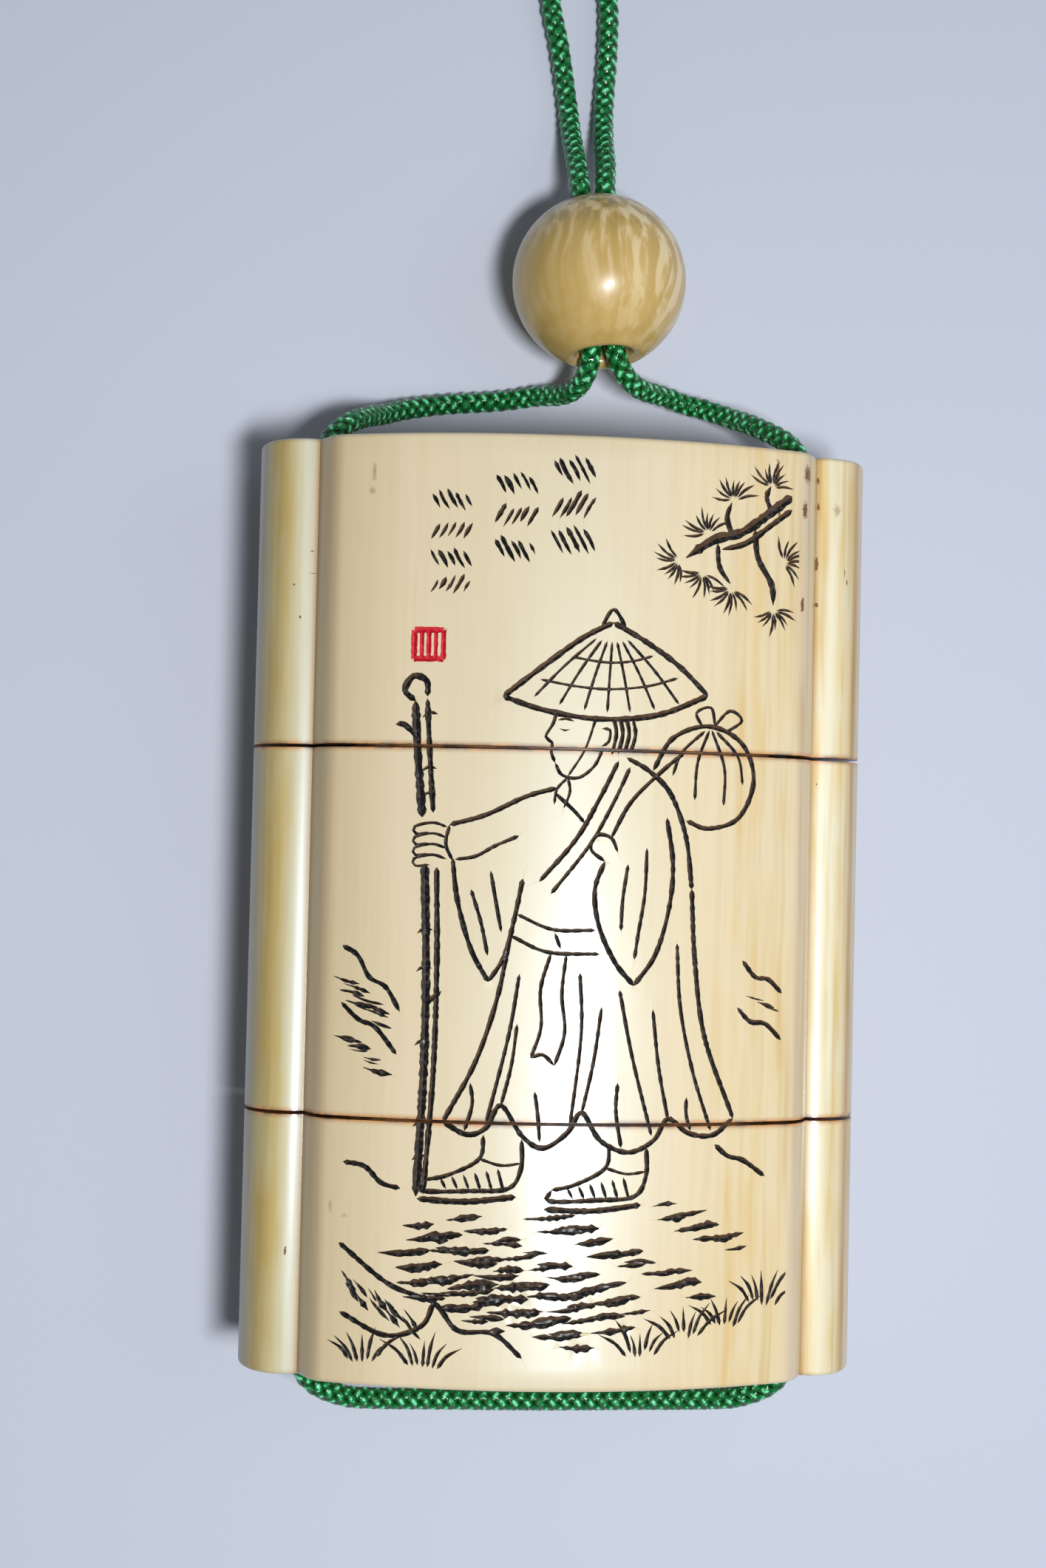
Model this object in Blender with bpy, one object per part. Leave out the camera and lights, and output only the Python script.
"""A three-case inro lying on its back, with its bead and its cord.

Metres, +X to the wearer's right in the picture, +Y towards the lid, +Z up out of the engraved front.
The origin is the middle of the narrow flat along the case's back, where it rests.
"""

import math

import bmesh
import bpy
from mathutils import Matrix, Vector

MM = 0.001

# Case, outside
CASE_WIDTH = 54.0 * MM
CASE_THICKNESS = 24.0 * MM
REST_FLAT_WIDTH = 8.0 * MM
LID_HEIGHT = 26.8 * MM
MIDDLE_HEIGHT = 31.5 * MM
BOTTOM_HEIGHT = 22.2 * MM
RIM_ROUND = 0.45 * MM

# The two side columns that the cord runs through, and the crowned panels between them, each place
# measured from the middle of the case
COLUMN_CREST_X = 22.9 * MM
COLUMN_RISE = 5.4 * MM
GROOVE_X = 21.85 * MM
PANEL_EDGE_X = 20.5 * MM
PANEL_CROWN = 4.1 * MM

# Walls, floors, and how each case seats in the next
WALL = 3.2 * MM
TOP_THICKNESS = 3.0 * MM
FLOOR_THICKNESS = 2.6 * MM
SIDE_WALL = 3.1 * MM
CHAMBER_CORNER = 2.6 * MM
RISER_WALL = 1.3 * MM
RISER_HEIGHT = 5.0 * MM
FIT_CLEARANCE = 0.3 * MM

# Cord and its channels
CORD_DIAMETER = 2.0 * MM
CHANNEL_X = 21.6 * MM
CHANNEL_DIAMETER = 3.0 * MM
CHANNEL_FLARE = 0.4 * MM
CORD_LEANS_FROM = 33.0 * MM

# Bead: its place is measured from the middle of the lid's top edge
BEAD_DIAMETER = 15.9 * MM
BEAD_HOLE = 5.0 * MM
BEAD_LIP_ROUND = 0.8 * MM
BEAD_ASIDE = 3.2 * MM
BEAD_ABOVE_LID = 16.95 * MM
BEAD_TILT = math.radians(7.5)
BEAD_TURN = math.radians(4.0)
STRAND_SPACING = 2.3 * MM

# The put-away end of the cord, measured from the lid's top edge
HANK_START = 54.8 * MM
HANK_LENGTH = 34.0 * MM
HANK_HEAD_WIDTH = 14.4 * MM
HANK_ASIDE = 3.4 * MM
HANK_SLACK = 0.3 * MM
HANK_LIFT = 0.2 * MM
TIE_LENGTH = 4.6 * MM
TIE_THREAD = 0.9 * MM
TIE_OUTER_CORNER = 0.6 * MM
TIE_INNER_CORNER = 0.15 * MM
KNOT_SIZE = Vector((5.4, 5.6, 4.4)) * MM

# How far a cutter reaches past what it cuts
BEYOND = 1.0 * MM
ARC_STEPS = 12
COLUMN_STEPS = 14

case_height = BOTTOM_HEIGHT + MIDDLE_HEIGHT + LID_HEIGHT
case_top = case_height / 2
case_base = -case_height / 2
lower_joint = case_base + BOTTOM_HEIGHT
upper_joint = lower_joint + MIDDLE_HEIGHT

panel_radius = (PANEL_EDGE_X**2 + PANEL_CROWN**2) / (2 * PANEL_CROWN)
flat_depth = panel_radius - math.sqrt(panel_radius**2 - (REST_FLAT_WIDTH / 2) ** 2)
middle_z = CASE_THICKNESS / 2 - flat_depth


def clear_scene():
    for old in list(bpy.data.objects):
        bpy.data.objects.remove(old, do_unlink=True)


def make_material(name, colour, roughness):
    material = bpy.data.materials.new(name)
    material.use_nodes = True
    shader = material.node_tree.nodes["Principled BSDF"]
    shader.inputs["Base Color"].default_value = (*colour, 1.0)
    shader.inputs["Roughness"].default_value = roughness
    shader.inputs["Metallic"].default_value = 0.0
    return material


def make_object(name, bm, material=None):
    """One named object from a bmesh, smooth on its round faces and sharp at its edges."""
    bmesh.ops.recalc_face_normals(bm, faces=bm.faces)
    mesh = bpy.data.meshes.new(name)
    bm.to_mesh(mesh)
    bm.free()
    mesh.shade_smooth()
    mesh.set_sharp_from_angle(angle=math.radians(28))
    made = bpy.data.objects.new(name, mesh)
    bpy.context.scene.collection.objects.link(made)
    if material:
        mesh.materials.append(material)
    return made


def boolean(target, operation, *others):
    """Joins other solids to the target, or cuts them away, and hides them."""
    for other in others:
        step = target.modifiers.new(f"{operation.lower()} {other.name}", "BOOLEAN")
        step.operation = operation
        step.object = other
        other.hide_render = True
        other.display_type = "WIRE"


def arc(centre, radius, start, end, steps):
    """Points on a circle, both ends included. Angles are in radians from the first axis."""
    turn = (end - start) / steps
    return [
        (
            centre[0] + radius * math.cos(start + turn * i),
            centre[1] + radius * math.sin(start + turn * i),
        )
        for i in range(steps + 1)
    ]


def case_outline():
    """The case's section in X and Z: rounded columns, a groove and a steep shoulder beside each, and
    crowned panels, with the rest flat cut across the back one."""
    panel_z = middle_z + CASE_THICKNESS / 2 - panel_radius
    half_angle = math.asin(PANEL_EDGE_X / panel_radius)
    quarter = math.pi / 2
    front = arc((0, panel_z), panel_radius, quarter - half_angle, quarter + half_angle, ARC_STEPS)
    half_width = CASE_WIDTH / 2 - COLUMN_CREST_X
    lean = math.acos((COLUMN_CREST_X - GROOVE_X) / half_width)
    left = [
        (half_width * c - COLUMN_CREST_X, COLUMN_RISE * s + middle_z)
        for c, s in arc((0, 0), 1.0, lean, 4 * quarter - lean, COLUMN_STEPS)
    ]
    right = [(-x, z) for x, z in reversed(left)]
    flat_angle = math.asin(REST_FLAT_WIDTH / 2 / panel_radius)
    back_z = middle_z - CASE_THICKNESS / 2 + panel_radius
    side_steps = ARC_STEPS // 2
    back_left = arc(
        (0, back_z), panel_radius, 3 * quarter - half_angle, 3 * quarter - flat_angle, side_steps
    )
    back_right = [(-x, z) for x, z in reversed(back_left)]
    return [*front, *left, *back_left, *back_right, *right]


def chamber_outline(grow):
    """A compartment's section in X and Z, a wall's thickness inside the panels, moved outwards by grow."""
    half_width = CHANNEL_X - CHANNEL_DIAMETER / 2 - SIDE_WALL + grow
    corner = CHAMBER_CORNER + grow
    crown = panel_radius - WALL + grow
    crown_z = CASE_THICKNESS / 2 - panel_radius
    lean = math.asin((half_width - corner) / (crown - corner))
    corner_z = crown_z + (crown - corner) * math.cos(lean)
    quarter = math.pi / 2
    top = arc((0, crown_z), crown, quarter - lean, quarter + lean, ARC_STEPS)
    rounded = arc((-half_width + corner, corner_z), corner, quarter + lean, math.pi, 4)
    upper = [*[(-x, z) for x, z in reversed(rounded[1:])], *top, *rounded[1:]]
    lower = [(-x, -z) for x, z in upper]
    return [(x, z + middle_z) for x, z in [*upper, *lower]]


def prism_along_y(outline, y0, y1):
    """A closed solid with the same section from y0 to y1."""
    bm = bmesh.new()
    ring = [bm.verts.new((x, y0, z)) for x, z in outline]
    face = bm.faces.new(ring)
    grown = bmesh.ops.extrude_face_region(bm, geom=[face])
    moved = [v for v in grown["geom"] if isinstance(v, bmesh.types.BMVert)]
    bmesh.ops.translate(bm, verts=moved, vec=(0, y1 - y0, 0))
    return bm


def round_rim(bm, y):
    """Rounds the edges of the end face that lies at y."""
    rim = [e for e in bm.edges if all(abs(v.co.y - y) < 1e-7 for v in e.verts)]
    bmesh.ops.bevel(
        bm, geom=rim, offset=RIM_ROUND, segments=2, profile=0.5, affect="EDGES", clamp_overlap=True
    )


def turned(profile, segments, closed=False):
    """A solid of revolution about its own Z axis from (radius, height) points."""
    bm = bmesh.new()
    rings = []
    for radius, height in profile:
        turns = [2 * math.pi * i / segments for i in range(segments)]
        rings.append(
            [bm.verts.new((radius * math.cos(t), radius * math.sin(t), height)) for t in turns]
        )
    pairs = list(zip(rings, rings[1:]))
    if closed:
        pairs.append((rings[-1], rings[0]))
    for low, high in pairs:
        for i in range(segments):
            j = (i + 1) % segments
            bm.faces.new((low[i], low[j], high[j], high[i]))
    if not closed:
        bm.faces.new(rings[0])
        bm.faces.new(rings[-1])
    return bm


def make_channel_cutter(name, x):
    """The round bore of one column through all three cases, flared a little at both of its mouths."""
    bore = CHANNEL_DIAMETER / 2
    slope = CHANNEL_FLARE + BEYOND
    profile = [
        (bore + slope, -case_top - BEYOND),
        (bore, -case_top + CHANNEL_FLARE),
        (bore, case_top - CHANNEL_FLARE),
        (bore + slope, case_top + BEYOND),
    ]
    cutter = make_object(name, turned(profile, 16))
    cutter.rotation_euler = (-math.pi / 2, 0, 0)
    cutter.location = (x, 0, middle_z)
    return cutter


def make_case(name, y0, y1, material, seats_on_riser, carries_riser, rim_y):
    """One case of the stack between y0 and y1. A lower case stands inside the one above it by its riser,
    and the one above has a recess for it. rim_y is the outer end whose rim is rounded, if it has one."""
    gap = FIT_CLEARANCE if seats_on_riser else 0.0
    bm = prism_along_y(case_outline(), y0 + gap, y1)
    if rim_y is not None:
        round_rim(bm, rim_y)
    case = make_object(name, bm, material)
    floor = y0 + TOP_THICKNESS
    chamber_end = y1 - TOP_THICKNESS
    if carries_riser:
        riser_outline = chamber_outline(RISER_WALL)
        riser = make_object(
            f"{name}_riser", prism_along_y(riser_outline, y1 - FLOOR_THICKNESS, y1 + RISER_HEIGHT)
        )
        boolean(case, "UNION", riser)
        chamber_end = y1 + RISER_HEIGHT + BEYOND
    if seats_on_riser:
        recess_top = y0 + RISER_HEIGHT + FIT_CLEARANCE
        recess_outline = chamber_outline(RISER_WALL + FIT_CLEARANCE)
        recess = make_object(
            f"{name}_recess", prism_along_y(recess_outline, y0 - BEYOND, recess_top)
        )
        boolean(case, "DIFFERENCE", recess)
        floor = recess_top + FLOOR_THICKNESS if carries_riser else y0 - BEYOND
    chamber = make_object(
        f"{name}_chamber", prism_along_y(chamber_outline(0.0), floor, chamber_end)
    )
    boolean(case, "DIFFERENCE", chamber, *channel_cutters)
    return case


def bead_axis():
    """The hole's direction, from the case towards the free end of the cord."""
    level = math.cos(BEAD_TILT)
    return Vector(
        (-math.sin(BEAD_TURN) * level, math.cos(BEAD_TURN) * level, -math.sin(BEAD_TILT))
    )


def bead_centre():
    return Vector((BEAD_ASIDE, case_top + BEAD_ABOVE_LID, BEAD_DIAMETER / 2))


def make_bead(material):
    """A turned ball with a drilled hole, whose two lips are rounded where the cord rubs."""
    radius = BEAD_DIAMETER / 2
    hole = BEAD_HOLE / 2
    lip = BEAD_LIP_ROUND
    lip_angle = math.acos((hole + lip) / (radius - lip))
    lip_height = (radius - lip) * math.sin(lip_angle)
    ball = arc((0, 0), radius, -lip_angle, lip_angle, 18)
    upper_lip = arc((hole + lip, lip_height), lip, lip_angle, math.pi, 4)
    lower_lip = [(r, -h) for r, h in reversed(upper_lip)]
    profile = [*ball, *upper_lip[1:], *lower_lip[:-1]]
    bead = make_object("ojime_bead", turned(profile, 32, closed=True), material)
    bead.location = bead_centre()
    bead.rotation_mode = "QUATERNION"
    bead.rotation_quaternion = bead_axis().to_track_quat("Z", "Y")
    return bead


def strand_route(side):
    """One strand's points, from its column to the hank. side is -1 for the left and 1 for the right.
    Offsets are from the lid's top edge, or from the bead, in millimetres."""
    x = side * CHANNEL_X
    channel = [Vector((x, y, middle_z)) for y in channel_stops()]
    near = {
        -1: [(-21.85, -3.95, 12.05), (-21.9, -2.25, 12.05), (-21.45, -0.15, 12.05),
             (-20.5, 1.5, 11.45), (-19.25, 2.7, 10.15), (-18.1, 3.6, 7.95), (-17.05, 4.25, 5.75),
             (-15.95, 4.75, 4.0), (-14.45, 5.4, 2.65), (-12.55, 5.95, 1.75), (-10.5, 6.35, 1.3),
             (-8.35, 6.6, 1.2), (-6.25, 6.8, 1.15), (-4.05, 7.1, 1.1), (-1.7, 7.4, 1.8),
             (0.3, 7.25, 3.55), (1.5, 7.45, 5.75), (2.1, 8.2, 7.1), (2.45, 9.4, 8.05),
             (2.55, 10.95, 8.55)],
        1: [(21.7, -4.6, 11.55), (21.85, -2.55, 11.65), (21.8, -0.85, 11.65), (21.5, 0.7, 11.2),
            (20.8, 2.15, 10.2), (19.8, 3.2, 8.8), (18.75, 4.0, 7.45), (17.75, 4.75, 6.1),
            (16.75, 5.35, 4.65), (15.5, 6.0, 3.5), (13.9, 6.6, 2.85), (12.1, 7.0, 2.85),
            (10.5, 7.4, 3.5), (9.1, 7.5, 4.65), (7.5, 7.55, 6.3), (6.1, 8.25, 7.55),
            (5.2, 9.4, 8.25), (4.7, 10.95, 8.6)],
    }[side]
    far = {
        -1: [(1.2, 28.4, 5.3), (0.95, 31.6, 2.8), (0.65, 35.0, 1.3), (-0.25, 40.8, 1.05),
             (-1.2, 45.6, 1.05), (-0.75, 50.4, 1.1)],
        1: [(3.9, 28.4, 5.3), (3.95, 31.6, 2.8), (4.05, 35.0, 1.3), (4.35, 40.8, 1.05),
            (4.25, 45.6, 1.05), (3.05, 50.4, 1.1)],
    }[side]
    aside = bead_axis().cross(Vector((0, 0, 1))).normalized() * (side * STRAND_SPACING / 2)
    half_hole = BEAD_DIAMETER / 2
    through = [
        bead_centre() + aside + bead_axis() * share * half_hole
        for share in (-0.45, 0.7, 0.88, 1.12)
    ]
    end = Vector((
        HANK_ASIDE + (side / 2 - 1) * STRAND_SPACING,
        case_top + HANK_START - FIT_CLEARANCE,
        1.35 * MM,
    ))
    before_end = end - Vector((0, 2.0 * MM, 0.1 * MM))

    def lifted(points):
        return [Vector((x, case_top / MM + y, z)) * MM for x, y, z in points]

    return [*channel, *lifted(near), *through, *lifted(far), before_end, end]


def channel_stops():
    """Heights of the route's points inside a column, between the two places where the cord leans."""
    return [CORD_LEANS_FROM * share for share in (-1.0, -0.4, 0.4, 1.0)]


def base_route():
    """The cord's bow under the case, from inside the left column's foot to inside the right one's, in
    millimetres from the middle of the base."""
    half = [(-21.75, 3.95, 11.9), (-21.95, 1.8, 12.0), (-21.5, -0.4, 11.85), (-20.3, -1.95, 11.5),
            (-17.55, -3.25, 10.6), (-15.1, -3.55, 10.1), (-12.1, -3.7, 9.65), (-8.1, -3.8, 9.3)]
    bow = [*half, (0.0, -3.9, 9.1), *[(-x, y, z) for x, y, z in reversed(half)]]
    return [Vector((x, case_base / MM + y, z)) * MM for x, y, z in bow]


def smooth_line(points, spacing):
    """A centripetal Catmull-Rom curve through points, read about every spacing. A straight stretch
    is left as it is."""
    ends = [points[0] * 2 - points[1], *points, points[-1] * 2 - points[-2]]
    line = [points[0]]
    for before, start, end, after in zip(ends, ends[1:], ends[2:], ends[3:]):
        knots = [0.0]
        for a, b in ((before, start), (start, end), (end, after)):
            knots.append(knots[-1] + math.sqrt((b - a).length))
        run = (end - start).normalized()
        bent = min(run.dot((start - before).normalized()), run.dot((after - end).normalized()))
        steps = 1 if bent > 0.99999 else max(1, round((end - start).length / spacing))
        for i in range(1, steps + 1):
            t = knots[1] + (knots[2] - knots[1]) * i / steps
            line.append(blend_knots((before, start, end, after), knots, t))
    return line


def blend_knots(points, knots, t):
    """Barry and Goldman's pyramid for one point of a Catmull-Rom curve."""
    row = list(points)
    for level in (1, 2, 3):
        if level == 3:
            low, high = knots[1], knots[2]
            return row[0] * ((high - t) / (high - low)) + row[1] * ((t - low) / (high - low))
        row = [
            a * ((knots[i + level] - t) / (knots[i + level] - knots[i]))
            + b * ((t - knots[i]) / (knots[i + level] - knots[i]))
            for i, (a, b) in enumerate(zip(row, row[1:]))
        ]


def make_cord(material):
    """The whole cord from the hank down one strand, under the base and back up the other, as one tube."""
    left = strand_route(-1)
    right = strand_route(1)
    route = [*reversed(left), *base_route(), *right]
    line = smooth_line(route, 2.3 * CORD_DIAMETER)
    curve = bpy.data.curves.new("cord", "CURVE")
    curve.dimensions = "3D"
    curve.bevel_depth = CORD_DIAMETER / 2
    curve.bevel_resolution = 2
    curve.use_fill_caps = True
    spline = curve.splines.new("POLY")
    spline.points.add(len(line) - 1)
    for point, place in zip(spline.points, line):
        point.co = (*place, 1.0)
    curve.materials.append(material)
    cord = bpy.data.objects.new("cord", curve)
    bpy.context.scene.collection.objects.link(cord)
    return cord


def make_hank(material):
    """The folded end of the doubled cord: four runs side by side, with a wider fold at the far end."""
    body = 4 * CORD_DIAMETER + 2 * HANK_SLACK
    low = case_top + HANK_START
    head_radius = HANK_HEAD_WIDTH / 2
    head_y = low + HANK_LENGTH - head_radius
    neck = math.acos(body / 2 / head_radius)
    head = arc((HANK_ASIDE, head_y), head_radius, -neck, math.pi + neck, 16)
    outline = [
        (HANK_ASIDE - body / 2, low),
        (HANK_ASIDE + body / 2, low),
        *head,
    ]
    bottom = HANK_LIFT
    bm = bmesh.new()
    face = bm.faces.new([bm.verts.new((x, y, bottom)) for x, y in outline])
    grown = bmesh.ops.extrude_face_region(bm, geom=[face])
    moved = [v for v in grown["geom"] if isinstance(v, bmesh.types.BMVert)]
    bmesh.ops.translate(bm, verts=moved, vec=(0, 0, hank_top() - bottom))
    hank = make_object("cord_hank", bm, material)
    notch = prism_along_y(
        [(HANK_ASIDE - body, -BEYOND), (HANK_ASIDE + body, -BEYOND),
         (HANK_ASIDE + body, tie_floor()), (HANK_ASIDE - body, tie_floor())],
        tie_y() - TIE_LENGTH / 2 - FIT_CLEARANCE,
        tie_y() + TIE_LENGTH / 2 + FIT_CLEARANCE,
    )
    boolean(hank, "DIFFERENCE", make_object("tie_notch", notch))
    return hank


def tie_floor():
    """How high the tie's threads lift the cord that they pass under."""
    return TIE_THREAD + FIT_CLEARANCE


def hank_top():
    return tie_floor() + CORD_DIAMETER + HANK_LIFT


def tie_y():
    return case_top + HANK_START + (HANK_LENGTH - HANK_HEAD_WIDTH) / 2


def make_tie(material):
    """The thread wound round the hank's middle, as one flat band."""
    inner_half = 2 * CORD_DIAMETER + HANK_SLACK + FIT_CLEARANCE
    inner_low = TIE_THREAD
    inner_high = hank_top() + FIT_CLEARANCE
    bm = bmesh.new()
    rings = []
    for y in (tie_y() - TIE_LENGTH / 2, tie_y() + TIE_LENGTH / 2):
        for grow, corner in ((TIE_THREAD, TIE_OUTER_CORNER), (0.0, TIE_INNER_CORNER)):
            half = inner_half + grow
            box = [
                (-half, inner_low - grow + corner), (-half + corner, inner_low - grow),
                (half - corner, inner_low - grow), (half, inner_low - grow + corner),
                (half, inner_high + grow - corner), (half - corner, inner_high + grow),
                (-half + corner, inner_high + grow), (-half, inner_high + grow - corner),
            ]
            rings.append([bm.verts.new((HANK_ASIDE + x, y, z)) for x, z in box])
    near_outer, near_inner, far_outer, far_inner = rings
    for a, b in (
        (near_outer, near_inner), (near_inner, far_inner),
        (far_inner, far_outer), (far_outer, near_outer),
    ):
        for i in range(len(a)):
            j = (i + 1) % len(a)
            bm.faces.new((a[i], a[j], b[j], b[i]))
    return make_object("hank_tie", bm, material)


def make_knot(material):
    """The knot that joins the cord's two ends, lying at the foot of the hank."""
    bm = bmesh.new()
    bmesh.ops.create_uvsphere(bm, u_segments=20, v_segments=12, radius=0.5)
    bmesh.ops.scale(bm, vec=KNOT_SIZE, verts=bm.verts)
    place = Vector((
        HANK_ASIDE + 2 * CORD_DIAMETER,
        case_top + HANK_START - FIT_CLEARANCE - KNOT_SIZE.y / 2,
        KNOT_SIZE.z / 2,
    ))
    bmesh.ops.transform(bm, matrix=Matrix.Translation(place), verts=bm.verts)
    return make_object("cord_knot", bm, material)


clear_scene()

ivory = make_material("ivory", (0.78, 0.66, 0.46), 0.28)
bead_ivory = make_material("bead_ivory", (0.62, 0.46, 0.27), 0.25)
green_cord = make_material("green_cord", (0.01, 0.16, 0.05), 0.35)

channel_cutters = [
    make_channel_cutter("left_channel", -CHANNEL_X),
    make_channel_cutter("right_channel", CHANNEL_X),
]

make_case("bottom_case", case_base, lower_joint, ivory, False, True, case_base)
make_case("middle_case", lower_joint, upper_joint, ivory, True, True, None)
make_case("lid", upper_joint, case_top, ivory, True, False, case_top)
make_bead(bead_ivory)
make_cord(green_cord)
make_hank(green_cord)
make_tie(green_cord)
make_knot(green_cord)
